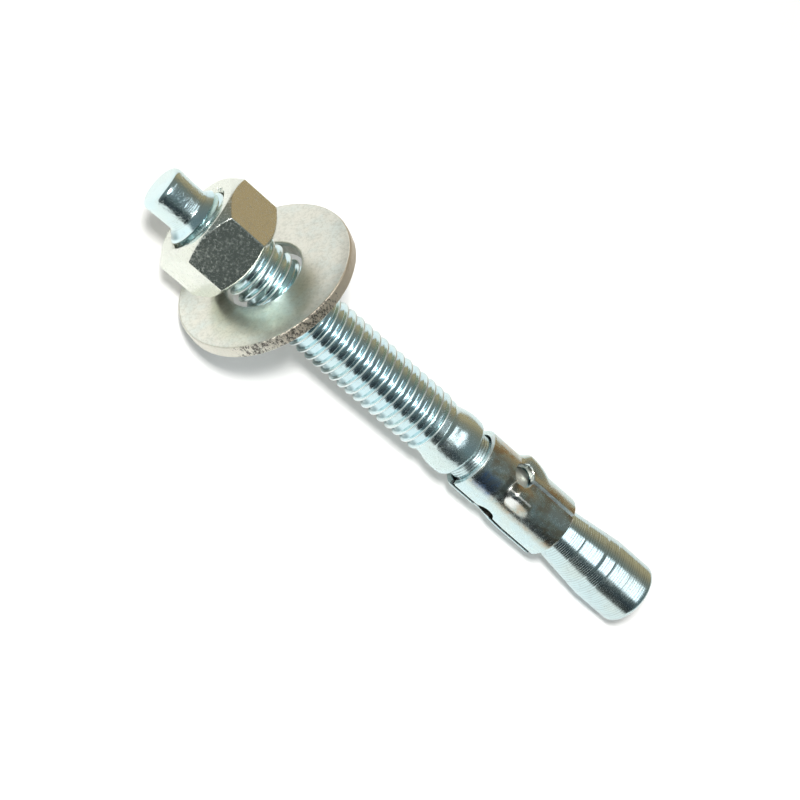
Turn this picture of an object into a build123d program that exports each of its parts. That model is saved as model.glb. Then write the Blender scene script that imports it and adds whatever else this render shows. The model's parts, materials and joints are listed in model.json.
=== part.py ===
from build123d import *
from math import acos, atan, atan2, cos, hypot, radians, sin, sqrt, tan
import os

# Wedge anchor, 3/8 in - 16 by 3-3/4 in, lying at rest on its washer's rim and the end of its cone.
# Millimetres and degrees. The floor is Z = 0 and the anchor points along +X, nut end towards -X.
# Stations are distances along the bolt's axis from the tip of the dog point to the cone's end.
# Angles about the axis are counted from straight up, turning towards -Y.

# ---- anchor bolt: one forged and rolled stud ----
bolt_length = 95.25
dog_diameter = 6.8            # plain point that takes the hammer blows
dog_length = 5.3
dog_chamfer = 0.5
thread_diameter = 9.3         # over the crests of the 3/8-16 thread
thread_start_angle = 45       # lead of the first thread, against the axis
thread_height = 0.4           # crests above the rolled blank
runout_length = 1.1           # last crest down to the blank
blank_length = 0.7            # plain blank between the run-out and the collar
collar_length = 4.6
collar_shoulder_diameter = 9.1
collar_swell = 0.2            # crown above the shoulder
collar_ledge = 0.05           # flat left between the shoulder's rounding and the neck
neck_diameter = 7.2
neck_length = 18.0
cone_length = 11.2
cone_diameter = 9.9           # cylindrical land that just enters a 3/8 in drilled hole
land_length = 7.05
land_chamfer = 0.5

# ---- expansion clip: sheet sleeve wrapped round the neck ----
clip_sheet = 0.9
clip_neck_gap = 0.3           # sleeve to neck, all round
clip_collar_gap = 1.85        # collar to the sleeve's plain end
clip_cone_lap = 0.75          # finger ends past the start of the cone
clip_flare = 0.28             # outward lean of the fingers at their ends
clip_flare_start = 5.5        # plain ring before the fingers flare
clip_flare_end = 10.5
clip_lip_chamfer = 0.2
clip_seam_width = 1.2
clip_seam_angle = 112         # the seam, with a hole part way along it
clip_hole_diameter = 3.4
clip_hole_station = 6.6       # from the sleeve's plain end
clip_slot_width = 0.6
nub_offsets = (0, 22, -22)    # each finger's pressed-out grip, from the finger's middle
nub_width = 3.6
nub_height = 1.1
nub_station = 6.8             # crest, from the sleeve's plain end
nub_arch_radius = 12.5        # of the crest, seen from the side
nub_shoulder = 0.2            # its round front is this much fuller than the ridge behind, each side
nub_hollow_length = 3.6       # pressed in from the bore

# ---- hex nut ----
nut_across_flats = 14.29
nut_height = 8.33
nut_station = 6.8             # outer face
nut_turn = -19                # one flat's direction about the axis
nut_face_margin = 0.45        # flats to the bearing circle
nut_chamfer_angle = 37
nut_thread_play = 0.1         # radial, bore round the thread
nut_countersink = 0.45

# ---- flat washer ----
washer_diameter = 26.0
washer_hole_play = 1.8        # hole over thread
washer_thickness = 2.1
washer_nut_gap = 1.0          # between the nut's face and the leaning washer, at the closest
washer_thread_gap = 0.08      # between the thread and the leaning washer's hole
washer_hole_chamfer = 0.4         # on the side the punch left rounded
washer_rim_chamfer = 0.15

# ---- stations and radii ----
dog_radius = dog_diameter / 2
thread_radius = thread_diameter / 2
blank_radius = thread_radius - thread_height
neck_radius = neck_diameter / 2
cone_radius = cone_diameter / 2
land_start = bolt_length - land_length
cone_start = land_start - cone_length
collar_end = cone_start - neck_length
collar_radius = collar_shoulder_diameter / 2
collar_edge_radius = collar_radius - neck_radius - collar_ledge
collar_start = collar_end - collar_length
thread_end = collar_start - blank_length - runout_length
thread_start = dog_length + (thread_radius - dog_radius) / tan(radians(thread_start_angle))
nut_end = nut_station + nut_height
nut_face_radius = nut_across_flats / 2 - nut_face_margin
washer_radius = washer_diameter / 2
washer_hole_diameter = thread_diameter + washer_hole_play
half_washer = washer_thickness / 2

# ---- how the washer leans ----
# It tips over until opposite edges of its hole meet the thread.
washer_tilt = acos((thread_diameter + 2 * washer_thread_gap) / hypot(washer_hole_diameter, washer_thickness))
washer_tilt -= atan(washer_thickness / washer_hole_diameter)
# Where the bolt's axis crosses the washer's middle plane.
washer_station = nut_end + washer_nut_gap
washer_station += half_washer / cos(washer_tilt) + nut_face_radius * tan(washer_tilt)

# ---- how the anchor lies ----
# The floor touches the washer's lowest corner and the lower edge of the land.
corner_station = washer_station - washer_radius * sin(washer_tilt) + half_washer * cos(washer_tilt)
corner_depth = washer_radius * cos(washer_tilt) + half_washer * sin(washer_tilt)
reach = bolt_length - land_chamfer - corner_station
incline = atan2(corner_depth - cone_radius, reach)
tip_height = corner_depth * cos(incline) + corner_station * sin(incline)
# The lower edge of the tip and the upper edge of the cone's end are the two ends in X.
low_x = -(dog_radius - dog_chamfer) * sin(incline)
high_x = bolt_length * cos(incline) + (cone_radius - land_chamfer) * sin(incline)

along = Vector(cos(incline), 0, -sin(incline))
rise = Vector(sin(incline), 0, cos(incline))
side = Vector(0, -1, 0)
tip = Vector(-(low_x + high_x) / 2, 0, tip_height)
bolt_axis = Axis(tip, along)


def on_axis(station):
    return tip + along * station


def spoke(angle):
    """Unit vector square to the axis, at an angle from straight up towards -Y."""
    return rise * cos(radians(angle)) + side * sin(radians(angle))


def across(station):
    """Plane square to the axis: its x points up and its z towards the cone."""
    return Plane(origin=on_axis(station), x_dir=rise, z_dir=along)


def facing(station, angle):
    """Plane through the axis that looks outward: its x runs along the axis."""
    return Plane(origin=on_axis(station), x_dir=along, z_dir=spoke(angle))


def lengthwise(angle=0):
    """Plane that holds the axis: x is the station and y the distance out at that angle."""
    return Plane(origin=tip, x_dir=along, z_dir=along.cross(spoke(angle)))


# ---- anchor bolt ----
with BuildPart() as anchor_bolt:
    with BuildSketch(lengthwise()):
        with BuildLine():
            Polyline(
                (collar_start, blank_radius),
                (thread_end + runout_length, blank_radius),
                (thread_end, thread_radius),
                (thread_start, thread_radius),
                (dog_length, dog_radius),
                (0, dog_radius),
                (0, 0),
                (bolt_length, 0),
                (bolt_length, cone_radius),
                (land_start, cone_radius),
                (cone_start, neck_radius),
                (collar_end, neck_radius),
                (collar_end, collar_radius),
            )
            ThreePointArc(
                (collar_start, blank_radius),
                (collar_start + collar_length / 2, collar_radius + collar_swell),
                (collar_end, collar_radius),
            )
        make_face()
    revolve(axis=bolt_axis)
    tip_face, shoulder, end_face = (
        anchor_bolt.faces().filter_by(Plane(origin=tip, z_dir=along)).sort_by(bolt_axis)
    )
    chamfer(tip_face.edges(), dog_chamfer)
    chamfer(end_face.edges(), land_chamfer)
    fillet(shoulder.outer_wire().edges(), collar_edge_radius)
anchor_bolt.part.label = "anchor_bolt"


# ---- expansion clip ----
clip_start = collar_end + clip_collar_gap
clip_end = cone_start + clip_cone_lap
clip_length = clip_end - clip_start
clip_inner_radius = neck_radius + clip_neck_gap
clip_outer_radius = clip_inner_radius + clip_sheet
crest_station = clip_start + nub_station
crest_radius = clip_outer_radius + nub_height
nub_floor = sqrt(clip_inner_radius**2 - (nub_width / 2) ** 2)    # its sides meet the bore here
finger_pitch = 360 / len(nub_offsets)


def sleeve_line(radius):
    """Lengthwise outline of the sleeve's inside or outside, closed along the axis."""
    return Polyline(
        (clip_start, 0),
        (clip_start, radius),
        (clip_start + clip_flare_start, radius),
        (clip_start + clip_flare_end, radius + clip_flare),
        (clip_end, radius + clip_flare),
        (clip_end, 0),
        close=True,
    )


def nub(angle):
    """Half-round ridge that arches along a finger, with a round front towards the collar."""
    half = nub_width / 2
    arch_centre = on_axis(crest_station) + spoke(angle) * (crest_radius - nub_arch_radius)
    with BuildPart() as ridge:
        with BuildSketch(Plane(origin=on_axis(crest_station), x_dir=spoke(angle), z_dir=along)):
            with Locations((crest_radius - half, 0)):
                Circle(half)
        revolve(axis=Axis(arch_centre, spoke(angle + 90)))
        with BuildSketch(facing(crest_station + nub_shoulder, angle).offset(nub_floor)):
            Circle(half + nub_shoulder)
            with Locations((clip_length / 2, 0)):
                Rectangle(clip_length, nub_width + 2 * nub_shoulder)
        extrude(amount=2 * crest_radius, mode=Mode.INTERSECT)
    return ridge.part


slot_angles = [clip_seam_angle + finger * finger_pitch for finger in range(len(nub_offsets))]
nub_angles = [slot + finger_pitch / 2 + offset for slot, offset in zip(slot_angles, nub_offsets)]
hollow_radius = nub_width / 2 - clip_sheet
hollow_start = crest_station - hollow_radius

with BuildPart() as expansion_clip:
    with BuildSketch(lengthwise()):
        with BuildLine():
            sleeve_line(clip_outer_radius)
        make_face()
    revolve(axis=bolt_axis)
    rings = expansion_clip.edges().filter_by(GeomType.CIRCLE).sort_by(bolt_axis)
    chamfer([rings[0], rings[-1]], clip_lip_chamfer)
    add([nub(angle) for angle in nub_angles])
    with BuildSketch(lengthwise()):
        with BuildLine():
            sleeve_line(clip_inner_radius)
        make_face()
    revolve(axis=bolt_axis, mode=Mode.SUBTRACT)
    for angle in nub_angles:
        with BuildSketch(Plane(origin=on_axis(hollow_start), x_dir=spoke(angle), z_dir=along)):
            with Locations((crest_radius - clip_sheet - hollow_radius, 0)):
                Circle(hollow_radius)
        extrude(amount=nub_hollow_length, mode=Mode.SUBTRACT)
    for angle in slot_angles:
        with BuildSketch(facing(clip_start + clip_hole_station, angle)):
            Circle(clip_hole_diameter / 2)
            with Locations((clip_length / 2, 0)):
                Rectangle(clip_length, clip_slot_width)
        extrude(amount=2 * clip_outer_radius, mode=Mode.SUBTRACT)
    with BuildSketch(facing(clip_start, clip_seam_angle)):
        Rectangle(3 * clip_length, clip_seam_width)
    extrude(amount=2 * clip_outer_radius, mode=Mode.SUBTRACT)
expansion_clip.part.label = "expansion_clip"


# ---- hex nut ----
nut_corner_radius = nut_across_flats / sqrt(3)
nut_chamfer_depth = (nut_corner_radius - nut_face_radius) * tan(radians(nut_chamfer_angle))
nut_bore_radius = thread_radius + nut_thread_play

with BuildPart() as hex_nut:
    with BuildSketch(across(nut_station)):
        RegularPolygon(nut_across_flats / 2, 6, major_radius=False, rotation=nut_turn + 30)
        Circle(nut_bore_radius, mode=Mode.SUBTRACT)
    extrude(amount=nut_height)
    with BuildSketch(lengthwise()):
        with BuildLine():
            Polyline(
                (nut_station, 0),
                (nut_station, nut_face_radius),
                (nut_station + nut_chamfer_depth, nut_corner_radius),
                (nut_end - nut_chamfer_depth, nut_corner_radius),
                (nut_end, nut_face_radius),
                (nut_end, 0),
                close=True,
            )
        make_face()
    revolve(axis=bolt_axis, mode=Mode.INTERSECT)
    mouths = hex_nut.edges().filter_by(GeomType.CIRCLE).sort_by(SortBy.RADIUS)[0:2]
    chamfer(mouths, nut_countersink)
hex_nut.part.label = "hex_nut"


# ---- flat washer ----
washer_axis = along * cos(washer_tilt) - rise * sin(washer_tilt)

with BuildPart() as flat_washer:
    with BuildSketch(Plane(origin=on_axis(washer_station), x_dir=side, z_dir=washer_axis)):
        Circle(washer_radius)
        Circle(washer_hole_diameter / 2, mode=Mode.SUBTRACT)
    extrude(amount=half_washer, both=True)
    near_face = flat_washer.faces().filter_by(GeomType.PLANE).sort_by(bolt_axis)[0]
    chamfer(near_face.inner_wires().edges(), washer_hole_chamfer)
    chamfer(near_face.outer_wire().edges(), washer_rim_chamfer)
flat_washer.part.label = "flat_washer"


os.makedirs("parts", exist_ok=True)
export_step(anchor_bolt.part, "parts/anchor_bolt.step")
export_step(expansion_clip.part, "parts/expansion_clip.step")
export_step(hex_nut.part, "parts/hex_nut.step")
export_step(flat_washer.part, "parts/flat_washer.step")
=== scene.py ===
"""Wedge anchor at rest: a threaded stud with its expansion clip, hex nut and loose flat washer."""

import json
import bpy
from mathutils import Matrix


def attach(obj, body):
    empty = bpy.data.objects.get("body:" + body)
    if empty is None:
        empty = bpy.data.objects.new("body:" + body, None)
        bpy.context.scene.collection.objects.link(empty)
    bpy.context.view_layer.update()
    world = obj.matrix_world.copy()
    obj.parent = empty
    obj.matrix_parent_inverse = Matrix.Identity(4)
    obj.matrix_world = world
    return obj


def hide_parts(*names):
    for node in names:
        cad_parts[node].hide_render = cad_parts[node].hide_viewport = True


bl_info = {
    "name": "Wedge Anchor",
    "version": (1, 0, 0),
    "blender": (4, 5, 0),
    "location": "View3D > Sidebar > Wedge Anchor",
    "description": "Builds a zinc-plated wedge anchor piece by piece on its loaded frame",
    "category": "Add Mesh",
}

from math import asin, atan2, cos, hypot, pi, radians, sin, sqrt, tan

import bpy
from bpy.props import FloatProperty, FloatVectorProperty, PointerProperty
from bpy.types import Operator, Panel, PropertyGroup
from mathutils import Matrix, Vector, noise

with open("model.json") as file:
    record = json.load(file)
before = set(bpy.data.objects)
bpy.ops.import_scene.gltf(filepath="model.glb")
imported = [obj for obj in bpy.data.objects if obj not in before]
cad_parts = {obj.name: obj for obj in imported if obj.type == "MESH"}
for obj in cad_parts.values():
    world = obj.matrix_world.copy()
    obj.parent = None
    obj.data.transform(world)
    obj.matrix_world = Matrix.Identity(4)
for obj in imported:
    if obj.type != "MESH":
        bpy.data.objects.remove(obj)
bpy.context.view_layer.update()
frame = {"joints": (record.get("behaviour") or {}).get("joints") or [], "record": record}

MM = 0.001


def axes_at(origin, x, y, z):
    """A place in the frame, from its origin and its three axes."""
    return Matrix.Translation(origin) @ Matrix((x, y, z)).transposed().to_4x4()


# The stud's own axes: Z runs from the tip to the cone, X points up and Y towards the front.
MOUNTS = {mount["name"]: mount for mount in frame["record"]["mounts"]}
ALONG = Vector(frame["joints"][0]["axis"]).normalized()
SIDE = Vector((0, -1, 0))
RISE = SIDE.cross(ALONG)
TIP = Vector(MOUNTS["driving_face"]["pos_m"])
STUD_PLACE = axes_at(TIP, RISE, SIDE, ALONG)

# The nut's place on the stud, from the flat that a wrench takes.
NUT_FLAT = STUD_PLACE.inverted() @ Vector(MOUNTS["nut_flats"]["pos_m"])

# The leaning washer's own axes: Z is its axis, away from the nut, and X points up along it.
WASHER_AXIS = Vector(MOUNTS["bearing_face"]["axis"]).normalized()
WASHER_UP = SIDE.cross(WASHER_AXIS)
BEARING_POINT = Vector(MOUNTS["bearing_face"]["pos_m"])


def size(name, description, default):
    """A length property in metres with its default given in millimetres."""
    return FloatProperty(
        name=name, description=description, default=default * MM, unit="LENGTH", precision=5
    )


def angle(name, description, default):
    """An angle property with its default given in degrees."""
    return FloatProperty(name=name, description=description, default=radians(default), subtype="ANGLE")


def colour(name, description, default):
    """A linear colour property."""
    return FloatVectorProperty(
        name=name, description=description, default=default, subtype="COLOR", size=3, min=0, max=1
    )


class StudSizes(PropertyGroup):
    length: size("Length", "Tip to the cone's end", 95.25)
    dog_radius: size("Dog radius", "Plain point past the thread", 3.4)
    dog_taper: size("Dog taper", "Thinner beside the thread by this much", 0.1)
    dog_length: size("Dog length", "Tip to the start of the thread's lead", 5.3)
    dog_rounding: size("Dog rounding", "Rounding of the tip's edge", 0.75)
    thread_radius: size("Thread radius", "Over the crests", 4.65)
    root_radius: size("Root radius", "At the bottom of the thread", 4.0)
    pitch: size("Pitch", "Crest to crest", 1.5875)
    thread_end: size("Thread end", "Last full crest, from the tip", 52.6)
    runout: size("Run-out", "Last crest down to the blank", 1.1)
    thread_phase: size("Thread phase", "Shifts the crests along the stud", 0.64)
    blank_radius: size("Blank radius", "Rolled blank beside the collar", 4.25)
    collar_start: size("Collar start", "From the tip", 54.4)
    collar_end: size("Collar end", "Shoulder above the neck", 59.0)
    collar_radius: size("Collar radius", "At its crown", 4.75)
    shoulder_radius: size("Shoulder radius", "At the collar's lower edge", 4.55)
    shoulder_rounding: size("Shoulder rounding", "Rounding of the collar's lower edge", 0.9)
    neck_radius: size("Neck radius", "Under the clip", 3.6)
    foot_rounding: size("Foot rounding", "Corner between the collar and the neck", 0.12)
    cone_start: size("Cone start", "From the tip", 77.0)
    cone_end: size("Cone end", "Where the land begins", 88.2)
    cone_radius: size("Cone radius", "At the land", 4.95)
    swell_radius: size("Swell radius", "Curve from the neck into the cone", 12)
    brow_radius: size("Brow radius", "Curve from the cone into the land", 8)
    cone_rounding: size("End rounding", "Rounding of the end's edge", 0.8)
    ring_spacing: size("Ring spacing", "Turning marks on the neck and cone", 0.33)
    ring_share: FloatProperty(name="Ring share", description="Part of a spacing that leans", default=0.85)
    ring_lean: FloatProperty(name="Ring lean", description="Slope of each turning mark", default=0.2)
    bared_neck: size("Bared neck", "How much of the clip's place can come into view", 4.2)


class ClipSizes(PropertyGroup):
    start: size("Start", "Plain end, from the stud's tip", 60.85)
    length: size("Length", "Along the stud", 16.9)
    sheet: size("Sheet", "Thickness of the metal", 0.9)
    inner_radius: size("Inner radius", "Round the neck", 3.9)
    flare: size("Flare", "Outward lean of the finger ends", 0.28)
    flare_start: size("Flare start", "From the plain end", 5.5)
    flare_end: size("Flare end", "From the plain end", 10.5)
    edge_rounding: size("Edge rounding", "Of the sheet's cut edges", 0.15)
    seam_gap: size("Seam gap", "Between the sheet's two edges", 1.2)
    seam_angle: angle("Seam angle", "From the top, towards the front", 112)
    seam_spring: size("Seam spring", "How far the lower edge stands proud", 0.14)
    spring_reach: size("Spring reach", "Width beside the seam that stands proud", 1.6)
    hole_radius: size("Hole radius", "Relief holes at the fingers' roots", 1.7)
    hole_place: size("Hole place", "From the plain end", 6.6)
    slot_width: size("Slot width", "Between two fingers", 0.6)
    nub_half_width: size("Nub half width", "Pressed-out grip on each finger", 1.8)
    nub_crest: size("Nub crest", "From the plain end", 6.8)
    nub_rise: size("Nub rise", "Crest above the sleeve", 1.1)
    nub_arch: size("Nub arch", "Radius of the crest, seen from the side", 12.5)
    nub_offset: angle("Nub offset", "Two grips from their fingers' middles", 22)


class NutSizes(PropertyGroup):
    across_flats: size("Across flats", "Wrench size", 2 * hypot(NUT_FLAT.x, NUT_FLAT.y) / MM)
    height: size("Height", "Face to face", 8.33)
    face_margin: size("Face margin", "Flats to the bearing circle", 0.45)
    chamfer: angle("Chamfer", "Slope of the corners' chamfer", 37)
    bore_radius: size("Bore radius", "Round the thread", 4.75)
    countersink: size("Countersink", "Depth and width at each mouth", 0.5)
    edge_rounding: size("Edge rounding", "Of every outer edge", 0.16)


class WasherSizes(PropertyGroup):
    outer_radius: size("Outer radius", "Rim", 12.997)
    hole_radius: size("Hole radius", "Punched hole", 5.55)
    thickness: size("Thickness", "Face to face", 2.1)
    hole_rounding: size("Hole rounding", "Rolled edge on the nut's side", 0.5)
    rim_rounding: size("Rim rounding", "Sheared edge on the nut's side", 0.2)
    far_hole_rounding: size("Far hole rounding", "On the side away from the nut", 0.12)
    far_rim_rounding: size("Far rim rounding", "On the side away from the nut", 0.25)
    waviness: size("Waviness", "How uneven the punched rim is", 0.035)


class Finishes(PropertyGroup):
    bright_zinc: colour("Bright zinc", "Plating on the stud and clip", (0.71, 0.87, 0.895))
    nut_zinc: colour("Nut zinc", "Plating on the nut", (0.80, 0.83, 0.76))
    warm_zinc: colour("Warm zinc", "Yellower cast that the plating has in places", (0.80, 0.82, 0.70))
    cloudy_zinc: colour("Cloudy zinc", "Greyer clouds in the plating", (0.55, 0.58, 0.58))
    washer_zinc: colour("Washer zinc", "Matte plating on the washer", (0.85, 0.84, 0.76))
    washer_grain: colour("Washer grain", "Darker grain of the matte plating", (0.60, 0.61, 0.54))
    rim_zinc: colour("Rim zinc", "Thin plating on the punched rim", (0.76, 0.73, 0.64))
    # Browner towards the top of the rim.
    rim_top_brown: colour("Rim stain", "Browner upper part of the rim", (0.66, 0.54, 0.40))
    root_zinc: colour("Root zinc", "Bluer plating between the crests", (0.60, 0.84, 0.94))
    # Painted shade: darker on the lower side of the thread's roots, where the flanks shade them.
    painted_root_shade: colour("Root shade", "Dull plating low in the roots", (0.12, 0.22, 0.24))
    # Crests that are worn and also lightened as a painted highlight line.
    rubbed_crest_highlight: colour("Rubbed crest", "Along the thread", (0.86, 0.93, 0.93))
    # Worn line over each grip's ridge, lightened as a painted highlight.
    rubbed_nub_highlight: colour("Rubbed nub", "Worn line over each grip", (0.95, 0.95, 0.90))
    # Painted highlight: a lighter, unstained flank on the near grip.
    nub_flank_highlight: colour("Clean nub", "Flank of a grip, free of stains", (0.92, 0.95, 0.93))
    # Rough cut metal on the walls, lightened as painted light where they face the front.
    lit_cut_wall: colour("Cut wall", "Plating on the walls of the holes and slots", (0.93, 0.99, 1.0))
    # Painted shade in the bottoms of the turning marks.
    painted_mark_shade: colour("Mark shade", "Bottoms of the turning marks", (0.22, 0.28, 0.29))
    # Painted shade: greyer neck under the clip, seen through the holes.
    neck_under_clip_shade: colour("Neck dust", "On the neck behind the holes", (0.66, 0.66, 0.60))
    # Dark specks in the washer's torn rim, and painted shade on the walls of the clip's seam.
    pit_and_seam_shade: colour("Pits", "Dark specks in torn and pitted metal", (0.09, 0.08, 0.07))
    # Painted shade on the face in front of the near grip.
    nub_front_shade: colour("Smudge", "In front of the near grip", (0.14, 0.13, 0.11))
    brown_stain: colour("Brown stain", "On the clip", (0.52, 0.42, 0.30))
    olive_stain: colour("Olive stain", "On the clip", (0.46, 0.50, 0.42))
    blue_stain: colour("Blue stain", "Beside the clip's plain end", (0.20, 0.32, 0.55))
    floor: colour("Floor", "Plain pale floor", (0.86, 0.86, 0.86))


# ---- modelling steps ----
STEPS = 96                    # round every turned piece
JOIN = 2e-7                   # metres, for points that belong together


def alone():
    """Leaves nothing selected, so that an operator can't touch another piece."""
    if bpy.context.object and bpy.context.object.mode != "OBJECT":
        bpy.ops.object.mode_set(mode="OBJECT")
    bpy.ops.object.select_all(action="DESELECT")


def pick(piece):
    """Selects one piece only and makes it the active one."""
    alone()
    piece.select_set(True)
    bpy.context.view_layer.objects.active = piece


def close_seams(piece, threshold=JOIN, degenerate=False):
    """Merges points that belong together and turns every face outwards."""
    pick(piece)
    bpy.ops.object.mode_set(mode="EDIT")
    bpy.ops.mesh.select_all(action="SELECT")
    bpy.ops.mesh.remove_doubles(threshold=threshold)
    if degenerate:
        bpy.ops.mesh.dissolve_degenerate(threshold=JOIN)
    bpy.ops.mesh.normals_make_consistent(inside=False)
    bpy.ops.object.mode_set(mode="OBJECT")


def draw_line(name, points):
    """An open line in the XZ plane, one vertex after another. Points are (station, radius)."""
    alone()
    bpy.ops.mesh.primitive_plane_add(size=MM)
    line = bpy.context.active_object
    line.name = name
    bpy.ops.object.mode_set(mode="EDIT")
    bpy.ops.mesh.select_all(action="SELECT")
    bpy.ops.mesh.merge(type="CENTER")
    here = Vector((points[0][1], 0, points[0][0]))
    bpy.ops.transform.translate(value=here)
    for station, radius in points[1:]:
        there = Vector((radius, 0, station))
        bpy.ops.mesh.extrude_vertices_move(TRANSFORM_OT_translate={"value": there - here})
        here = there
    bpy.ops.object.mode_set(mode="OBJECT")
    return line


def turn(name, points, steps=STEPS):
    """A turned shape: the line spun once round Z, closed where it meets the axis."""
    piece = draw_line(name, points)
    bpy.ops.object.mode_set(mode="EDIT")
    bpy.ops.mesh.select_all(action="SELECT")
    bpy.ops.mesh.spin(steps=steps, angle=2 * pi, center=(0, 0, 0), axis=(0, 0, 1))
    close_seams(piece)
    return piece


def apply(piece, kind, **settings):
    """Adds a modifier, sets it and applies it."""
    pick(piece)
    modifier = piece.modifiers.new(kind.title(), kind)
    for key, value in settings.items():
        setattr(modifier, key, value)
    bpy.ops.object.modifier_apply(modifier=modifier.name)


def cut(piece, tool, operation="DIFFERENCE"):
    """Cuts the piece with a tool shape, which is used up."""
    apply(piece, "BOOLEAN", object=tool, operation=operation, solver="EXACT")
    bpy.data.objects.remove(tool)


def join(piece, *others):
    """Makes several shapes one piece and closes the seams between them."""
    pick(piece)
    for other in others:
        other.select_set(True)
    bpy.ops.object.join()
    close_seams(piece, 2 * JOIN, degenerate=True)


def settle(piece, place, crease=30):
    """Puts a finished piece in its place in the frame, with its origin at the frame's own."""
    pick(piece)
    piece.matrix_world = place @ piece.matrix_world
    bpy.ops.object.transform_apply(location=True, rotation=True, scale=True)
    bpy.ops.object.shade_smooth_by_angle(angle=radians(crease))


def hand_over(piece, node, body, finish):
    """Dresses the piece, lets it stand for its solid and ride on its body."""
    piece.data.materials.clear()
    piece.data.materials.append(finish)
    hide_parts(node)
    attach(piece, body)


def rounded(corner, before, after, radius, parts=5):
    """Points of an arc that rounds a corner of a line; each point is (station, radius)."""
    corner, before, after = (Vector(p) for p in (corner, before, after))
    into, out = (before - corner).normalized(), (after - corner).normalized()
    half = into.angle(out) / 2
    centre = corner + (into + out).normalized() * (radius / sin(half))
    start, end = corner + into * (radius / tan(half)), corner + out * (radius / tan(half))
    a, b = start - centre, end - centre
    sweep = a.angle(b)
    points = []
    for i in range(parts + 1):
        t = i / parts
        p = (a * sin((1 - t) * sweep) + b * sin(t * sweep)) / sin(sweep)
        points.append(tuple(centre + p))
    return points


def arc_through(start, middle, end, parts=8):
    """Points of a shallow arc through three points, start and end included."""
    points = []
    for i in range(parts + 1):
        t = i / parts
        a, b, c = 2 * (t - 0.5) * (t - 1), 4 * t * (1 - t), 2 * t * (t - 0.5)
        points.append(tuple(a * s + b * m + c * e for s, m, e in zip(start, middle, end)))
    return points


def ramp(value, low, high):
    """0 below low, 1 above high and straight between."""
    return min(max((value - low) / (high - low), 0.0), 1.0)


# ---- finishes ----
BLACK, WHITE = (0, 0, 0), (1, 1, 1)


class Field:
    """A value that varies over a surface. Arithmetic on it adds the nodes that work it out."""

    def __init__(self, nodes, socket):
        self.nodes, self.socket = nodes, socket

    def math(self, operation, *values):
        return self.nodes.node("ShaderNodeMath", {"operation": operation}, dict(enumerate(values)))

    def __add__(self, other):
        return self.math("ADD", self, other)

    def __sub__(self, other):
        return self.math("SUBTRACT", self, other)

    def __rsub__(self, other):
        return self.math("SUBTRACT", other, self)

    def __mul__(self, other):
        return self.math("MULTIPLY", self, other)

    def __pow__(self, other):
        return self.math("POWER", self, other)

    __radd__ = __add__
    __rmul__ = __mul__

    def wave(self):
        """Sine of the field."""
        return self.math("SINE", self)

    def within(self, low, high, soft):
        """1 between low and high, fading to 0 over the soft width outside them."""
        rise = self.nodes.step(self, low - soft, low)
        fall = self.nodes.step(self, high, high + soft)
        return rise * (1 - fall)


class Nodes:
    """The nodes of one material or world."""

    def __init__(self, tree):
        self.tree = tree

    def node(self, kind, settings=None, values=None, out=0):
        """Adds a node, with its settings first and then its sockets' values or links."""
        node = self.tree.nodes.new(kind)
        for key, value in (settings or {}).items():
            if key == "stops":
                while len(node.color_ramp.elements) < len(value):
                    node.color_ramp.elements.new(0.5)
                for element, (place, shade) in zip(node.color_ramp.elements, value):
                    element.position, element.color = place, (*shade, 1)
            else:
                setattr(node, key, value)
        for key, value in (values or {}).items():
            if isinstance(value, Field):
                self.tree.links.new(value.socket, node.inputs[key])
            else:
                node.inputs[key].default_value = value
        return Field(self, node.outputs[out])

    def step(self, field, low, high):
        """0 below low, 1 above high, smooth between."""
        return self.node(
            "ShaderNodeMapRange", {"interpolation_type": "SMOOTHSTEP"},
            {"Value": field, "From Min": low, "From Max": high, "To Min": 0.0, "To Max": 1.0},
        )

    def mix(self, share, first, second):
        """First colour where share is 0, second where it is 1."""
        return self.node(
            "ShaderNodeMix", {"data_type": "RGBA", "clamp_factor": True},
            {0: share, 6: first if isinstance(first, Field) else (*first, 1),
             7: second if isinstance(second, Field) else (*second, 1)}, out=2,
        )

    def feed(self, field, socket):
        """Leads a field into a shader's socket."""
        self.tree.links.new(field.socket, socket)


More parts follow.
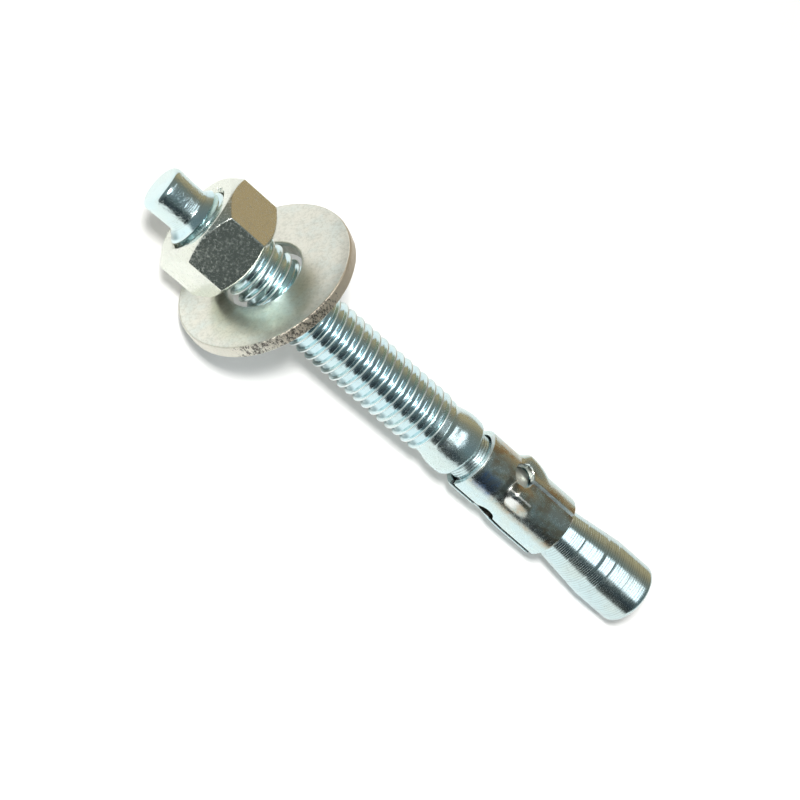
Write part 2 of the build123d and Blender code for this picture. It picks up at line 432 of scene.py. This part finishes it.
class Finish(Nodes):
    """A plated metal finish under construction, in the axes of the piece that wears it."""

    def __init__(self, name, place):
        self.material = bpy.data.materials.new(name)
        self.material.use_nodes = True
        super().__init__(self.material.node_tree)
        self.shader = self.tree.nodes["Principled BSDF"]
        spot = self.node("ShaderNodeTexCoord", out="Object")
        self.spot = self.node(
            "ShaderNodeMapping", {"vector_type": "TEXTURE"},
            {"Vector": spot, "Location": place.translation, "Rotation": place.to_euler()},
        )
        self.up, self.front, self.station = (
            self.node("ShaderNodeSeparateXYZ", values={"Vector": self.spot}, out=axis) for axis in "XYZ"
        )
        self.radius = (self.up * self.up + self.front * self.front) ** 0.5
        self.angle = self.node("ShaderNodeMath", {"operation": "ARCTAN2"}, {0: self.front, 1: self.up})
        self.base = self.roughness = self.normal = None

    def grain(self, grain_size, detail=2.0, rough=0.5, stretch=(1, 1, 1)):
        """Noise from 0 to 1 with blotches of about the given size in metres."""
        spot = self.spot
        if stretch != (1, 1, 1):
            spot = self.node("ShaderNodeVectorMath", {"operation": "MULTIPLY"},
                             {0: self.spot, 1: stretch})
        return self.node("ShaderNodeTexNoise", {"noise_dimensions": "3D"},
                         {"Vector": spot, "Scale": 1 / grain_size, "Detail": detail, "Roughness": rough},
                         out="Fac")

    def facing(self, low, high, soft):
        """1 between two angles round the stud, in degrees from the top towards the front."""
        return self.angle.within(radians(low), radians(high), radians(soft))

    def paint(self, share, shade):
        """Lays a colour over what is there, where the share is 1."""
        self.base = self.mix(share, self.base, shade)

    def emboss(self, height, depth):
        """Tilts the surface by a height field from 0 to 1 that stands for a depth in metres."""
        values = {"Height": height, "Distance": depth, "Strength": 1.0}
        if self.normal:
            values["Normal"] = self.normal
        self.normal = self.node("ShaderNodeBump", None, values, out="Normal")

    def done(self):
        """Connects what was worked out and returns the material."""
        self.shader.inputs["Metallic"].default_value = 1.0
        self.feed(self.base, self.shader.inputs["Base Color"])
        self.feed(self.roughness, self.shader.inputs["Roughness"])
        self.feed(self.normal, self.shader.inputs["Normal"])
        return self.material


class BrightZinc(Finish):
    """Bright plating with a fine grain and a drifting tint. A piece adds the marks that it has."""

    def __init__(self, name, plating, finishes, roughness):
        super().__init__(name, STUD_PLACE)
        self.finishes = finishes
        drift = self.step(self.grain(6 * MM, 3), 0.42, 0.68)
        fine = self.grain(0.22 * MM, 3, 0.6)
        cloud = self.step(self.grain(0.9 * MM, 3, 0.6), 0.52, 0.72)
        self.base = self.mix(drift * 0.25, plating, finishes.warm_zinc)
        self.paint(cloud * 0.22, finishes.cloudy_zinc)
        self.roughness = roughness + 0.06 * drift + 0.10 * self.step(fine, 0.35, 0.75) + 0.06 * cloud
        self.emboss(fine, 0.0022 * MM)

    def speckled(self, more):
        """Fine pits that are rougher than the plating round them."""
        pits = self.step(self.grain(0.36 * MM, 5, 0.8), 0.49, 0.64)
        self.emboss(pits, 0.0015 * MM)
        self.roughness = self.roughness + more * pits

    def ringed(self, low, high, spacing, depth, shade):
        """Turning marks between two stations: even rings with fine scratches among them, and painted
        shade in their bottoms.
        """
        wobble = 2.7 * self.grain(2.5 * MM, 2)
        ring = (self.station * (2 * pi / spacing) + wobble).wave() * 0.5 + 0.5
        scratch = self.grain(0.12 * MM, 2, 0.6, (0.04, 0.04, 1))
        turned = self.station.within(low, high, 0.3 * MM)
        self.emboss((ring * 0.6 + scratch * 0.9) * turned, depth)
        # Painted shade in the ring bottoms, as strong as the shade argument.
        self.paint(self.step(ring * 0.5 + scratch, 0.75, 1.0) * turned * shade, self.finishes.painted_mark_shade)

    def dented(self, low, high, spread, depth):
        """Shallow dents between two stations."""
        self.emboss(self.grain(spread, 3, 0.6) * self.station.within(low, high, 0.3 * MM), depth)

    def dulled(self, low, high, more, shade=None):
        """A rougher band between two stations, with its own colour if it has one."""
        band = self.station.within(low, high, 0.4 * MM)
        self.roughness = self.roughness + more * band
        if shade is not None:
            self.paint(band, shade)

    def threaded(self, low, high, crest):
        """Worn crests lightened into a painted highlight, and bluer roots with painted shade on their
        lower side.
        """
        thread = self.station.within(low, high, MM)
        root = (1 - self.step(self.radius, crest - 0.50 * MM, crest - 0.25 * MM)) * thread
        self.paint(root * 0.4, self.finishes.root_zinc)
        # Painted shade on the lower side of the roots.
        self.paint(root * self.facing(102, 150, 18) * 0.75, self.finishes.painted_root_shade)
        # The crests are worn rough and lightened, a painted highlight along the thread.
        rubbed_highlight = self.step(self.radius, crest - 0.10 * MM, crest - 0.03 * MM) * thread
        self.paint(rubbed_highlight, self.finishes.rubbed_crest_highlight)
        self.roughness = self.roughness + 0.2 * rubbed_highlight


# ---- pieces ----
class ANCHOR_OT_stud(Operator):
    """Forged stud with a helical thread, a barrel collar, a neck and a cone"""

    bl_idname = "anchor.stud"
    bl_label = "Stud"

    def thread(self, s):
        """The rolled thread, closed to a clean ring at each end."""
        depth = s.thread_radius - s.root_radius
        # From a crest to the next root: the share of the pitch and the share of the depth.
        flank = [(0, 1), (0.03, 0.985), (0.06, 0.93), (0.09, 0.80), (0.13, 0.58), (0.17, 0.36),
                 (0.21, 0.17), (0.25, 0.08), (0.32, 0.035), (0.40, 0.012)]
        across = flank + [(0.5, 0)] + [(1 - t, h) for t, h in reversed(flank)]
        start = s.thread_phase + s.dog_length - 2 * s.pitch
        line = [(start + s.pitch * t, s.root_radius + depth * h) for t, h in across]
        ridge = draw_line("thread", line)
        turns = int((s.thread_end + s.runout - s.dog_length) / s.pitch) + 4
        apply(ridge, "SCREW", axis="Z", angle=2 * pi, screw_offset=s.pitch, iterations=turns,
              steps=STEPS, render_steps=STEPS, use_merge_vertices=True, merge_threshold=JOIN)
        last = s.thread_end + s.runout
        lead = s.dog_length + s.thread_radius - s.dog_radius
        for vertex in ridge.data.vertices:
            x, y, z = vertex.co
            radius = hypot(x, y)
            z = min(max(z, s.dog_length), last)
            crest = s.dog_radius + (s.thread_radius - s.dog_radius) * ramp(z, s.dog_length, lead)
            fade = ramp(z, s.thread_end - 0.2 * s.pitch, last)
            crest = min(crest, s.thread_radius + (s.blank_radius - s.thread_radius) * fade)
            root = s.root_radius + (s.blank_radius - s.root_radius) * ramp(z, last - 1.6 * s.pitch, last)
            new = min(max(radius, min(root, crest)), crest)
            vertex.co = (x * new / radius, y * new / radius, z)
        return ridge

    def turned(self, s, points):
        """The same line with the lathe's fine rings on it, each one leaning towards the tip."""
        def radius_at(station):
            before = max((p for p in points if p[0] <= station), key=lambda p: p[0])
            after = min((p for p in points if p[0] >= station), key=lambda p: p[0])
            share = (station - before[0]) / (after[0] - before[0]) if after[0] > before[0] else 0
            return before[1] + (after[1] - before[1]) * share

        (start, first), (end, last) = points[0], points[-1]
        count = round((end - start) / s.ring_spacing)
        step = (end - start) / count
        ringed = [(start, first)]
        for i in range(1, count):
            low, high = start + i * step, start + (i + s.ring_share) * step
            own = (radius_at(high) - radius_at(low)) / (high - low)
            uneven = 1.08 + 0.2 * noise.noise(Vector((i * 3.7, 0.3, 0)))
            lean = max(s.ring_lean * uneven - own, 0.02)
            ringed += [(low, radius_at(low) - lean * (high - low)), (high, radius_at(high))]
        return [*ringed, (end, last)]

    def dog_line(self, s):
        """The plain point, rounded at the tip and a little thinner beside the thread."""
        thin = s.dog_radius - s.dog_taper
        tip = rounded((0, s.dog_radius), (0, 0), (s.dog_length, s.dog_radius), s.dog_rounding)
        return [(0, 0), (0, s.dog_radius * 0.5), *tip,
                (s.dog_rounding + 0.2 * MM, s.dog_radius - 0.01 * MM),
                (0.65 * s.dog_length, thin + 0.01 * MM), (0.8 * s.dog_length, thin),
                (s.dog_length - 0.3 * MM, thin), (s.dog_length, s.dog_radius)]

    def shank_line(self, s, bared, hole):
        """The collar, the neck and the cone, with turning marks where the clip leaves them in view."""
        crown = ((s.collar_start + s.collar_end) / 2, s.collar_radius)
        collar_edge, neck_corner = (s.collar_end, s.shoulder_radius), (s.collar_end, s.neck_radius)
        cone_corner, land_corner = (s.cone_start, s.neck_radius), (s.cone_end, s.cone_radius)
        end_edge = (s.length, s.cone_radius)
        collar = arc_through((s.collar_start, s.blank_radius), crown, collar_edge, 12)
        shoulder = rounded(collar_edge, collar[-2], neck_corner, s.shoulder_rounding, 6)
        collar = [p for p in collar[:-1] if p[0] < shoulder[0][0] - 0.05 * MM]
        foot = rounded(neck_corner, collar_edge, cone_corner, s.foot_rounding, 3)
        swell = rounded(cone_corner, neck_corner, land_corner, s.swell_radius, 6)
        brow = rounded(land_corner, cone_corner, end_edge, s.brow_radius, 6)
        end = rounded(end_edge, land_corner, (s.length, 0), s.cone_rounding, 6)
        bare_neck = self.turned(s, [(foot[-1][0], s.neck_radius), (bared, s.neck_radius)])
        slotted_neck = self.turned(
            s, [(hole + 1.5 * MM, s.neck_radius), (swell[0][0] - 0.3 * MM, s.neck_radius)]
        )
        cone = self.turned(s, [*swell, *brow, end[0]])
        return [(s.thread_end + s.runout, s.blank_radius), *collar, *shoulder, *foot[:-1],
                *bare_neck, *slotted_neck, *cone, *end[1:],
                (s.length, s.cone_radius * 0.5), (s.length, 0)]

    def execute(self, context):
        s, c = context.scene.anchor_stud, context.scene.anchor_clip
        bared, hole = c.start + s.bared_neck, c.start + c.hole_place
        dog = turn("dog", self.dog_line(s))
        shank = turn("shank", self.shank_line(s, bared, hole))
        stud = self.thread(s)
        join(stud, dog, shank)
        stud.name = "threaded_stud"
        settle(stud, STUD_PLACE)
        finish = self.finish(context.scene.anchor_finishes, s, bared, hole)
        hand_over(stud, "anchor_bolt", "stud", finish)
        return {"FINISHED"}

    def finish(self, finishes, s, bared, hole):
        """Bright plating: struck dog, turned neck and cone with painted shade in their rings, worn thread
        with painted highlight and shade, dull neck with painted shade in the holes.
        """
        f = BrightZinc("zinc_stud", finishes.bright_zinc, finishes, roughness=0.13)
        cone_end = s.length - s.cone_rounding
        f.ringed(0.7 * s.dog_length, s.dog_length, spacing=0.28 * MM, depth=0.012 * MM, shade=0.2)
        f.ringed(s.collar_end, bared, spacing=0.45 * MM, depth=0.03 * MM, shade=0.75)
        f.ringed(s.cone_start, cone_end, spacing=0.42 * MM, depth=0.0035 * MM, shade=0.28)
        f.dented(s.dog_rounding, s.dog_length - 0.5 * MM, spread=0.55 * MM, depth=0.07 * MM)
        f.dented(s.collar_start, s.collar_end, spread=1.4 * MM, depth=0.05 * MM)
        # Painted shade on the neck under the clip, with a duller finish.
        f.dulled(hole - 1.8 * MM, hole + 1.5 * MM, more=0.35, shade=finishes.neck_under_clip_shade)
        f.dulled(s.collar_start, s.collar_end, more=0.05)
        f.dulled(s.collar_end, bared, more=0.12)
        f.dulled(s.cone_start, s.length, more=0.01)
        f.threaded(low=6 * MM, high=52 * MM, crest=s.thread_radius)
        return f.done()


# Each finger of the clip by its place, in thirds of a turn from the middle one, with the way in
# which its nub is offset.
FINGERS = {-1: 0, 0: 1, 1: -1}
THIRD = 2 * pi / 3


def nub_angle(c, finger):
    """Where the nub of a finger is on the blank, in radians from the blank's middle."""
    return finger * THIRD + c.nub_offset * FINGERS[finger]


class ANCHOR_OT_clip(Operator):
    """Expansion clip: one sheet, punched, pressed and rolled into a sleeve"""

    bl_idname = "anchor.clip"
    bl_label = "Expansion clip"

    def sleeve_radius(self, c, along, inner):
        """Radius of the plain sleeve at a distance from its plain end."""
        radius = c.inner_radius if inner else c.inner_radius + c.sheet
        return radius + c.flare * ramp(along, c.flare_start, c.flare_end)

    def nub_height(self, c, along, angle):
        """How far a pressed nub stands out of the sleeve, at an angle from its own middle."""
        radius = c.inner_radius + c.sheet
        behind = along - c.nub_crest
        if behind > 0.9 * c.nub_arch:  # past the foot of the arch
            return 0.0
        sagging = c.nub_arch - sqrt(c.nub_arch ** 2 - max(behind, 0) ** 2)
        height = c.nub_rise - sagging - (self.sleeve_radius(c, along, False) - radius)
        # It fades out to its sides, and more steeply towards the plain end.
        sideways = radius * angle
        reach = hypot(1.5 * min(behind, 0), sideways) / (c.nub_half_width * 1.25)
        return max(height, 0) * cos(min(reach, 1) * pi / 2) ** 2

    def flat_blank(self, c, width):
        """The sheet before it is rolled, with its inner face down and its length along Y."""
        alone()
        bpy.ops.mesh.primitive_grid_add(x_subdivisions=150, y_subdivisions=84, size=1)
        blank = bpy.context.active_object
        bpy.ops.transform.resize(value=(width, c.length, 1))
        bpy.ops.transform.translate(value=(0, c.length / 2, 0))
        bpy.ops.object.transform_apply(location=True, rotation=True, scale=True)
        apply(blank, "SOLIDIFY", thickness=c.sheet, offset=1.0)
        return blank

    def punch(self, c, blank, middle_radius):
        """Cuts the relief holes with their rounded edges, and the two slots, while the blank is flat."""
        sheet, hole, lip = c.sheet, c.hole_radius, c.edge_rounding
        edge = [(-sheet, 0), (-sheet, hole + sheet), (0, hole + lip), (0.1 * sheet, hole + 0.3 * lip),
                (0.3 * sheet, hole), (0.7 * sheet, hole), (0.9 * sheet, hole + 0.3 * lip),
                (sheet, hole + lip), (2 * sheet, hole + sheet), (2 * sheet, 0)]
        # Narrower across, so that a hole is round when it is seen on the rolled sleeve.
        squeeze = asin(hole / (c.inner_radius + sheet)) * middle_radius / hole
        for finger_edge in (-1.5, -0.5, 0.5, 1.5):
            place = finger_edge * THIRD * middle_radius
            tool = turn("punch", edge, steps=48)
            bpy.ops.transform.resize(value=(squeeze, 1, 1))
            bpy.ops.transform.translate(value=(place, c.hole_place, 0))
            cut(blank, tool)
            if abs(finger_edge) < 1:
                alone()
                bpy.ops.mesh.primitive_cube_add(
                    size=1, location=(place, c.hole_place + c.length / 2, sheet / 2),
                    scale=(c.slot_width, c.length, 3 * sheet),
                )
                cut(blank, bpy.context.active_object)

    def roll(self, c, blank, width, middle_radius):
        """Presses the nubs and rolls the sheet: every point goes to its angle, station and radius."""
        lip = c.edge_rounding
        for vertex in blank.data.vertices:
            x, along, height = vertex.co
            angle = x / middle_radius
            finger = min(FINGERS, key=lambda k: abs(angle - k * THIRD))
            out = self.nub_height(c, along, angle - nub_angle(c, finger))
            out += c.seam_spring * (1 - ramp(x + width / 2, 0, c.spring_reach)) ** 2
            inner = self.sleeve_radius(c, along, True) + out
            outer = self.sleeve_radius(c, along, False) + out
            edge = min(along, c.length - along, width / 2 - abs(x))
            if edge < lip:
                sink = lip - sqrt(max(lip * lip - (lip - max(edge, 0)) ** 2, 0))
                inner, outer = inner + 0.6 * sink, outer - sink
            radius = inner + (outer - inner) * ramp(height, 0, c.sheet)
            turned = angle + c.seam_angle + pi
            vertex.co = (radius * cos(turned), radius * sin(turned), c.start + along)

    def execute(self, context):
        c = context.scene.anchor_clip
        middle_radius = c.inner_radius + c.sheet / 2
        width = (2 * pi - c.seam_gap / (c.inner_radius + c.sheet)) * middle_radius
        clip = self.flat_blank(c, width)
        clip.name = "expansion_sleeve"
        self.punch(c, clip, middle_radius)
        self.roll(c, clip, width, middle_radius)
        close_seams(clip)
        settle(clip, STUD_PLACE, crease=32)
        finish = self.finish(context.scene.anchor_finishes, c)
        hand_over(clip, "expansion_clip", "clip", finish)
        return {"FINISHED"}

    def finish(self, finishes, c):
        """Plating with a stained front, worn nubs with painted highlights, painted shade in front of the
        near nub and on the seam's walls, and matte walls where the sheet was cut, lightened on the front
        as painted light.
        """
        f = Finish("zinc_clip", STUD_PLACE)
        patches = f.step(f.grain(2.2 * MM, 4, 0.6, (1, 1, 0.7)), 0.42, 0.60)
        haze = f.step(f.grain(0.8 * MM, 4, 0.65), 0.40, 0.70)
        fine = f.grain(0.2 * MM, 3, 0.6)
        along = f.station - c.start
        outer = c.inner_radius + c.sheet + f.step(along, c.flare_start, c.flare_end) * c.flare
        wall = f.step(outer - f.radius, 0.10 * MM, 0.16 * MM)
        # The front is stained, but hardly so on its upper finger.
        top = f.step(along, 4.5 * MM, 6.5 * MM) * (1 - f.step(f.angle, radians(-34), radians(-20)))
        front = f.facing(-40, 60, 13) * (1 - 0.85 * top)
        f.base = f.mix(patches * 0.25, finishes.bright_zinc, finishes.warm_zinc)
        stain = f.mix(haze, finishes.brown_stain, finishes.olive_stain)
        f.paint(front * (0.45 + 0.5 * patches), stain)
        blue = f.facing(38, 58, 14) * along.within(1.2 * MM, 3.6 * MM, 1.2 * MM)
        f.paint(blue * (0.5 + 0.5 * haze), finishes.blue_stain)
        # A frayed line is worn along the top of each nub and lightened there as a painted highlight.
        frayed = f.angle + 0.06 * f.grain(0.35 * MM, 3) - 0.03
        crests = along.within(5.9 * MM, 9.4 * MM, 0.3 * MM)
        worn = 0
        for finger in FINGERS:
            middle = (c.seam_angle + nub_angle(c, finger)) % (2 * pi) - pi
            rubbed_highlight = frayed.within(middle - 0.012, middle + 0.012, 0.02) * crests
            f.paint(rubbed_highlight, finishes.rubbed_nub_highlight)
            worn = worn + rubbed_highlight
        # The near nub's flank is kept free of stain and lightened as a painted highlight, with painted
        # shade in front of it.
        raised = f.step(f.radius - outer, 0.03 * MM, 0.15 * MM)
        flank = f.facing(34, 70, 4) * (1 - f.step(along, 7.2 * MM, 8.4 * MM))
        f.paint(raised * flank, finishes.nub_flank_highlight)
        # Painted shade on the face in front of the near nub.
        nub_front_shade = f.facing(16, 41, 7) * along.within(4.7 * MM, 6.0 * MM, 0.5 * MM)
        f.paint(nub_front_shade * (0.5 + 0.3 * haze), finishes.nub_front_shade)
        # Painted light: the cut walls on the front are lightened as if lit, and made rougher.
        f.paint(wall * front, finishes.lit_cut_wall)
        # Painted shade on the walls of the seam, past the plain end.
        seam = f.angle.within(c.seam_angle - radians(24), c.seam_angle + radians(24), radians(2))
        f.paint(wall * seam * f.step(along, 0.2 * MM, 0.5 * MM), finishes.pit_and_seam_shade)
        grainy = 0.08 * f.step(fine, 0.4, 0.75)
        f.roughness = (0.17 + 0.10 * (1 - front) + 0.10 * haze * front + grainy
                       + 0.3 * (wall * front + worn))
        f.emboss(fine, 0.003 * MM)
        f.emboss(haze, 0.004 * MM)
        return f.done()


class ANCHOR_OT_nut(Operator):
    """Hex nut with chamfered corners and countersunk mouths"""

    bl_idname = "anchor.nut"
    bl_label = "Hex nut"

    def execute(self, context):
        n = context.scene.anchor_nut
        middle = NUT_FLAT.z
        low, high = middle - n.height / 2, middle + n.height / 2
        corner, face = n.across_flats / sqrt(3), n.across_flats / 2 - n.face_margin
        alone()
        bpy.ops.mesh.primitive_cylinder_add(
            vertices=6, radius=corner, depth=n.height, location=(0, 0, middle),
            rotation=(0, 0, atan2(NUT_FLAT.y, NUT_FLAT.x)),
        )
        nut = context.active_object
        nut.name = "hexagon_nut"
        bpy.ops.object.transform_apply(location=True, rotation=True, scale=True)
        beyond = 1.2 * corner
        slope = (beyond - face) * tan(n.chamfer)
        chamfer = turn("corner_chamfer", [(low, 0), (low, face), (low + slope, beyond),
                                          (high - slope, beyond), (high, face), (high, 0)], steps=144)
        cut(nut, chamfer, "INTERSECT")
        wide, out = n.bore_radius + 2 * n.countersink, n.countersink
        bore = turn("bore", [(low - out, 0), (low - out, wide), (low + out, n.bore_radius),
                             (high - out, n.bore_radius), (high + out, wide), (high + out, 0)])
        cut(nut, bore)
        apply(nut, "BEVEL", width=n.edge_rounding, segments=3,
              limit_method="ANGLE", angle_limit=radians(22))
        settle(nut, STUD_PLACE, crease=40)
        apply(nut, "WEIGHTED_NORMAL", keep_sharp=True)
        finishes = context.scene.anchor_finishes
        finish = BrightZinc("zinc_nut", finishes.nut_zinc, finishes, roughness=0.12)
        finish.speckled(0.22)
        hand_over(nut, "hex_nut", "nut", finish.done())
        return {"FINISHED"}


class ANCHOR_OT_washer(Operator):
    """Punched flat washer, leaning on the thread"""

    bl_idname = "anchor.washer"
    bl_label = "Flat washer"

    def execute(self, context):
        w = context.scene.anchor_washer
        washer = turn("loose_washer", self.section(w), steps=192)
        self.roughen_rim(w, washer)
        # The stud's axis goes through the middle of the hole.
        middle = BEARING_POINT - WASHER_AXIS * w.thickness / 2 - TIP
        centre = TIP + ALONG * (middle.dot(WASHER_AXIS) / ALONG.dot(WASHER_AXIS))
        place = axes_at(centre, WASHER_UP, SIDE, WASHER_AXIS)
        settle(washer, place, crease=35)
        finish = self.finish(context.scene.anchor_finishes, w, place)
        hand_over(washer, "flat_washer", "washer", finish)
        return {"FINISHED"}

    def section(self, w):
        """The ring's section: rounded where it was punched, and drawn in towards its far face."""
        near, far = -w.thickness / 2, w.thickness / 2
        inner, outer, width = w.hole_radius, w.outer_radius, w.outer_radius - w.hole_radius
        return [
            *rounded((near, inner), (far, inner), (near, outer), w.hole_rounding, 6),
            (near, inner + 0.3 * width), (near, inner + 0.65 * width),
            *rounded((near, outer), (near, inner), (far, outer), w.rim_rounding, 3),
            (near + 0.35 * w.thickness, outer), (near + 0.5 * w.thickness, outer - 0.02 * MM),
            (near + 0.75 * w.thickness, outer - 0.06 * MM),
            *rounded((far, outer - 0.09 * MM), (near, outer), (far, inner), w.far_rim_rounding, 4),
            (far, inner + 0.6 * width), (far, inner + 0.3 * width),
            *rounded((far, inner), (far, outer), (near, inner), w.far_hole_rounding, 3),
            (far - 0.5 * w.thickness, inner), (near + w.hole_rounding, inner),
        ]

    def roughen_rim(self, w, washer):
        """Wears small hollows into the punched rim."""
        for vertex in washer.data.vertices:
            x, y, z = vertex.co
            radius = hypot(x, y)
            if radius > w.outer_radius - 0.5 * MM:
                hollow = min(noise.noise(Vector((x, y, z * 3)) / (0.9 * MM)) - 0.6, 0)
                new = radius + w.waviness * hollow
                vertex.co = (x * new / radius, y * new / radius, z)

    def finish(self, finishes, w, place):
        """Matte plating with a torn band round the punched rim, most ragged up and in front."""
        f = Finish("zinc_washer", place)
        fine = f.grain(0.42 * MM, 4, 0.75)
        cloud = f.step(f.grain(3.5 * MM, 4, 0.6), 0.4, 0.7)
        torn = f.grain(0.38 * MM, 5, 0.8, (1, 1, 0.55))
        rim = f.step(f.radius, w.outer_radius - 0.28 * MM, w.outer_radius - 0.10 * MM)
        ragged = 0.17 * f.step(f.up, -1 * MM, 4 * MM) * f.step(f.front, 0, 5 * MM)
        pits = f.step(torn, 0.65 - ragged, 0.71 - ragged) * rim
        f.base = f.mix(cloud * 0.35, finishes.washer_zinc, finishes.bright_zinc)
        f.paint(f.step(fine, 0.42, 0.66) * 0.55, finishes.washer_grain)
        f.paint(rim * 0.7, finishes.rim_zinc)
        # The rim is browner towards its top.
        f.paint(rim * f.step(f.up, 5 * MM, 11 * MM) * 0.6, finishes.rim_top_brown)
        f.paint(pits * 0.9, finishes.pit_and_seam_shade)
        f.roughness = 0.28 + 0.08 * cloud + 0.08 * f.step(fine, 0.4, 0.7) + 0.12 * rim
        f.emboss(fine, 0.008 * MM)
        f.emboss((1 - torn) * rim, 0.12 * MM)
        return f.done()


class ANCHOR_OT_stage(Operator):
    """Pale floor, room, lamp and camera"""

    bl_idname = "anchor.stage"
    bl_label = "Floor, lamp and camera"

    def floor(self, context):
        """A round sheet of paper that the lens sees a little lighter than the lamp leaves it."""
        alone()
        bpy.ops.mesh.primitive_circle_add(vertices=96, radius=1.6, fill_type="NGON")
        floor = context.active_object
        floor.name = "floor"
        material = bpy.data.materials.new("floor_paper")
        material.use_nodes = True
        paper = Nodes(material.node_tree)
        shader = paper.tree.nodes["Principled BSDF"]
        shader.inputs["Base Color"].default_value = (*context.scene.anchor_finishes.floor, 1)
        shader.inputs["Roughness"].default_value = 0.9
        shader.inputs["Specular IOR Level"].default_value = 0.0
        shader.inputs["Emission Strength"].default_value = 1.0
        seen = paper.node("ShaderNodeLightPath", out="Is Camera Ray")
        mirrored = paper.node("ShaderNodeLightPath", out="Is Glossy Ray")
        spot = paper.node("ShaderNodeTexCoord", out="Object")
        distance = paper.node("ShaderNodeVectorMath", {"operation": "LENGTH"}, {0: spot}, out="Value")
        # The paper glows more in the distance, where less of the lamp's light falls.
        far = paper.step(distance, 0.12, 0.5)
        glow = paper.mix(seen * (0.2 + 0.6 * far) + mirrored * 0.03, BLACK, WHITE)
        paper.feed(glow, shader.inputs["Emission Color"])
        floor.data.materials.append(material)

    def world(self, scene):
        """A dim room, cool in front and warm behind, with a long soft box over the stud."""
        scene.world = bpy.data.worlds.new("room")
        scene.world.use_nodes = True
        room = Nodes(scene.world.node_tree)
        towards = room.node("ShaderNodeTexCoord", out="Generated")
        depth = room.node("ShaderNodeSeparateXYZ", values={"Vector": towards}, out="Y")
        walls = room.node("ShaderNodeValToRGB", {"stops": (
            (0.0, (0.035, 0.035, 0.03)), (0.075, (0.025, 0.036, 0.045)), (0.15, (0.09, 0.105, 0.10)),
            (0.30, (0.14, 0.19, 0.20)), (0.5, (0.16, 0.19, 0.19)), (0.65, (0.18, 0.20, 0.185)),
            (0.78, (0.20, 0.20, 0.165)), (0.88, (0.30, 0.245, 0.16)), (0.94, (0.44, 0.34, 0.20)),
            (1.0, (0.44, 0.35, 0.20)),
        )}, {"Fac": depth * 0.5 + 0.5})
        along, over, side = (
            room.node("ShaderNodeVectorMath", {"operation": "DOT_PRODUCT"}, {0: towards, 1: axis},
                      out="Value")
            for axis in (ALONG, RISE, SIDE)
        )
        round_stud = room.node("ShaderNodeMath", {"operation": "ARCTAN2"}, {0: side, 1: over})
        box = along.within(0.02, 0.11, 0.08) * round_stud.within(radians(-14), radians(32), radians(8))
        box_light = (2.2, 2.3, 2.4)
        light = room.mix(box, walls, box_light)
        seen = room.node("ShaderNodeLightPath", out="Is Camera Ray")
        room.feed(room.mix(seen, light, WHITE), room.tree.nodes["Background"].inputs["Color"])

    def lamp(self, scene):
        """A soft box above, to the left and in front, which faces the middle of the frame."""
        towards = Vector((-0.38, -0.315, 0.87)).normalized()
        across = (ALONG - towards * ALONG.dot(towards)).normalized()
        distance, width, radiance, warm = 0.7, 0.10, 155, (1, 0.985, 0.96)
        data = bpy.data.lights.new("key", "AREA")
        data.shape, data.size, data.color = "SQUARE", width, warm
        data.energy = radiance * pi * width ** 2
        lamp = bpy.data.objects.new("key", data)
        scene.collection.objects.link(lamp)
        lamp.matrix_world = axes_at(towards * distance, across, towards.cross(across), towards)

    def camera(self, scene):
        """A long lens from the front and above, turned so that the stud runs down to the right."""
        right, up = Vector((0.74215, 0.38576, 0.54809)), Vector((-0.58164, 0.77703, 0.24068))
        stand = TIP + ALONG * (3.85 * MM) + Vector((-0.07394, -0.172, 0.27714))
        data = bpy.data.cameras.new("camera")
        data.sensor_width, data.lens = 36, 112.5
        data.shift_x, data.shift_y = -0.014, -0.01975
        data.clip_start = 0.01
        camera = bpy.data.objects.new("camera", data)
        scene.collection.objects.link(camera)
        camera.matrix_world = axes_at(stand, right, up, right.cross(up))
        scene.camera = camera

    def execute(self, context):
        scene = context.scene
        self.floor(context)
        self.world(scene)
        self.lamp(scene)
        self.camera(scene)
        scene.view_settings.view_transform = "Standard"
        return {"FINISHED"}


class ANCHOR_PT_panel(Panel):
    """Buttons for every piece, in the order in which they are made"""

    bl_idname = "ANCHOR_PT_panel"
    bl_label = "Wedge Anchor"
    bl_space_type = "VIEW_3D"
    bl_region_type = "UI"
    bl_category = "Wedge Anchor"

    def draw(self, context):
        for operator in OPERATORS:
            self.layout.operator(operator.bl_idname)


OPERATORS = (ANCHOR_OT_stage, ANCHOR_OT_stud, ANCHOR_OT_clip, ANCHOR_OT_nut, ANCHOR_OT_washer)
GROUPS = {"anchor_stud": StudSizes, "anchor_clip": ClipSizes, "anchor_nut": NutSizes,
          "anchor_washer": WasherSizes, "anchor_finishes": Finishes}


def register():
    for group in GROUPS.values():
        bpy.utils.register_class(group)
    for name, group in GROUPS.items():
        setattr(bpy.types.Scene, name, PointerProperty(type=group))
    for operator in (*OPERATORS, ANCHOR_PT_panel):
        bpy.utils.register_class(operator)


def unregister():
    for operator in reversed((*OPERATORS, ANCHOR_PT_panel)):
        bpy.utils.unregister_class(operator)
    for name in GROUPS:
        delattr(bpy.types.Scene, name)
    for group in reversed(GROUPS.values()):
        bpy.utils.unregister_class(group)


def main():
    """Registers the add-on and builds the anchor."""
    register()
    bpy.ops.anchor.stage()
    bpy.ops.anchor.stud()
    bpy.ops.anchor.clip()
    bpy.ops.anchor.nut()
    bpy.ops.anchor.washer()


if __name__ == "__main__":
    main()
